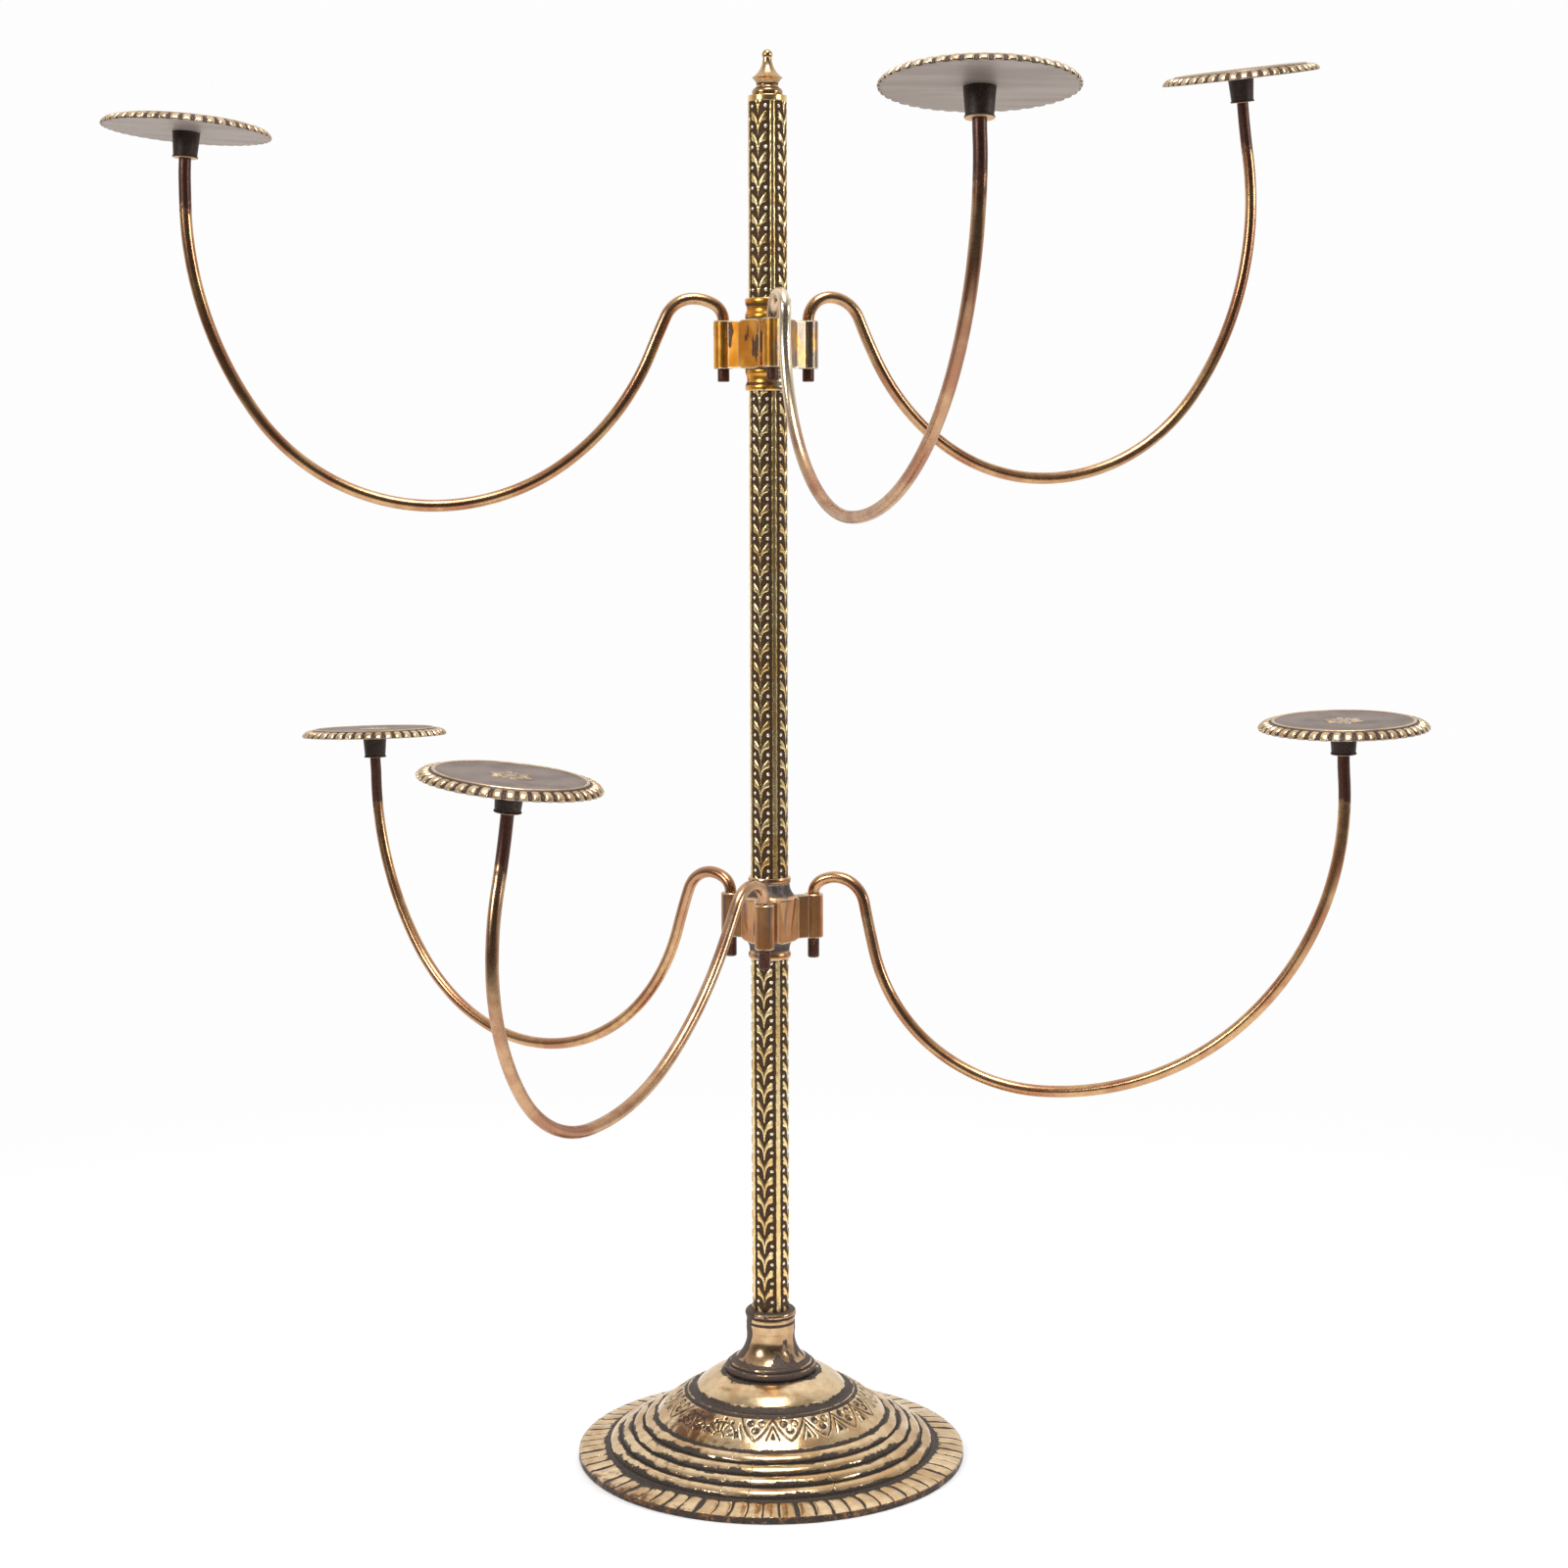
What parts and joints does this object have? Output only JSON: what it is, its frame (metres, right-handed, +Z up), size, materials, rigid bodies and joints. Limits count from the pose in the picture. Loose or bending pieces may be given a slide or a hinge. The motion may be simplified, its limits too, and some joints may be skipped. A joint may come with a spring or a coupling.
{
  "type": "six-arm candelabrum",
  "caption": "Free-standing brass candelabrum: turned base and tall embossed column with two socket hubs of swinging bent-rod arms that end in round gadroon-edged candle dishes.",
  "frame": {"origin": "centre of the base's underside, on the column's axis and on the surface it stands on", "axes": "+Z up along the column; -Y is the front, +X to the right seen from the front"},
  "size_m": [0.6462, 0.538, 0.731],
  "materials": {
    "base_brass": "polished cast brass with dark brown patina in its grooves",
    "column_brass": "embossed brass, bright relief on a dark brown ground",
    "hub_brass": "satin aged brass, orange brown",
    "rod_brass": "polished bent rod, reddish brown",
    "dish_brass": "worn bright rim round a dark brown pan",
    "cup_bronze": "dark bronzed brass",
    "steel": "plain steel"
  },
  "bodies": {
    "stand": {"base_casting": "base_brass", "socket_neck": "base_brass", "column_lower": "column_brass", "hub_lower": "hub_brass", "column_middle": "column_brass", "hub_upper": "hub_brass", "column_upper": "column_brass", "finial": "base_brass", "tie_rod": "steel", "clamp_washer": "steel", "lock_washer": "steel", "base_nut": "steel"},
    "upper_left": {"upper_left_arm": "rod_brass", "upper_left_cup": "cup_bronze", "upper_left_dish": "dish_brass", "upper_left_stud": "steel"},
    "upper_front": {"upper_front_arm": "rod_brass", "upper_front_cup": "cup_bronze", "upper_front_dish": "dish_brass", "upper_front_stud": "steel"},
    "upper_right": {"upper_right_arm": "rod_brass", "upper_right_cup": "cup_bronze", "upper_right_dish": "dish_brass", "upper_right_stud": "steel"},
    "lower_left": {"lower_left_arm": "rod_brass", "lower_left_cup": "cup_bronze", "lower_left_dish": "dish_brass", "lower_left_stud": "steel"},
    "lower_front": {"lower_front_arm": "rod_brass", "lower_front_cup": "cup_bronze", "lower_front_dish": "dish_brass", "lower_front_stud": "steel"},
    "lower_right": {"lower_right_arm": "rod_brass", "lower_right_cup": "cup_bronze", "lower_right_dish": "dish_brass", "lower_right_stud": "steel"}
  },
  "joints": [
    {"name": "upper_left_swing", "type": "hinge", "parent": "stand", "child": "upper_left", "pos_m": [-0.02266, 0.01056, 0.5795], "axis": [0, 0, 1], "range_deg": [-88, 20]},
    {"name": "upper_front_swing", "type": "hinge", "parent": "stand", "child": "upper_front", "pos_m": [0.00218, -0.02491, 0.5795], "axis": [0, 0, 1], "range_deg": [-67, 41]},
    {"name": "upper_right_swing", "type": "hinge", "parent": "stand", "child": "upper_right", "pos_m": [0.02048, 0.01434, 0.5795], "axis": [0, 0, 1], "range_deg": [-37, 71]},
    {"name": "lower_left_swing", "type": "hinge", "parent": "stand", "child": "lower_left", "pos_m": [-0.02022, 0.01469, 0.2853], "axis": [0, 0, 1], "range_deg": [-52, 56]},
    {"name": "lower_front_swing", "type": "hinge", "parent": "stand", "child": "lower_front", "pos_m": [-0.00261, -0.02486, 0.2853], "axis": [0, 0, 1], "range_deg": [-29, 79]},
    {"name": "lower_right_swing", "type": "hinge", "parent": "stand", "child": "lower_right", "pos_m": [0.02284, 0.01017, 0.2853], "axis": [0, 0, 1], "range_deg": [-12, 96]}
  ]
}
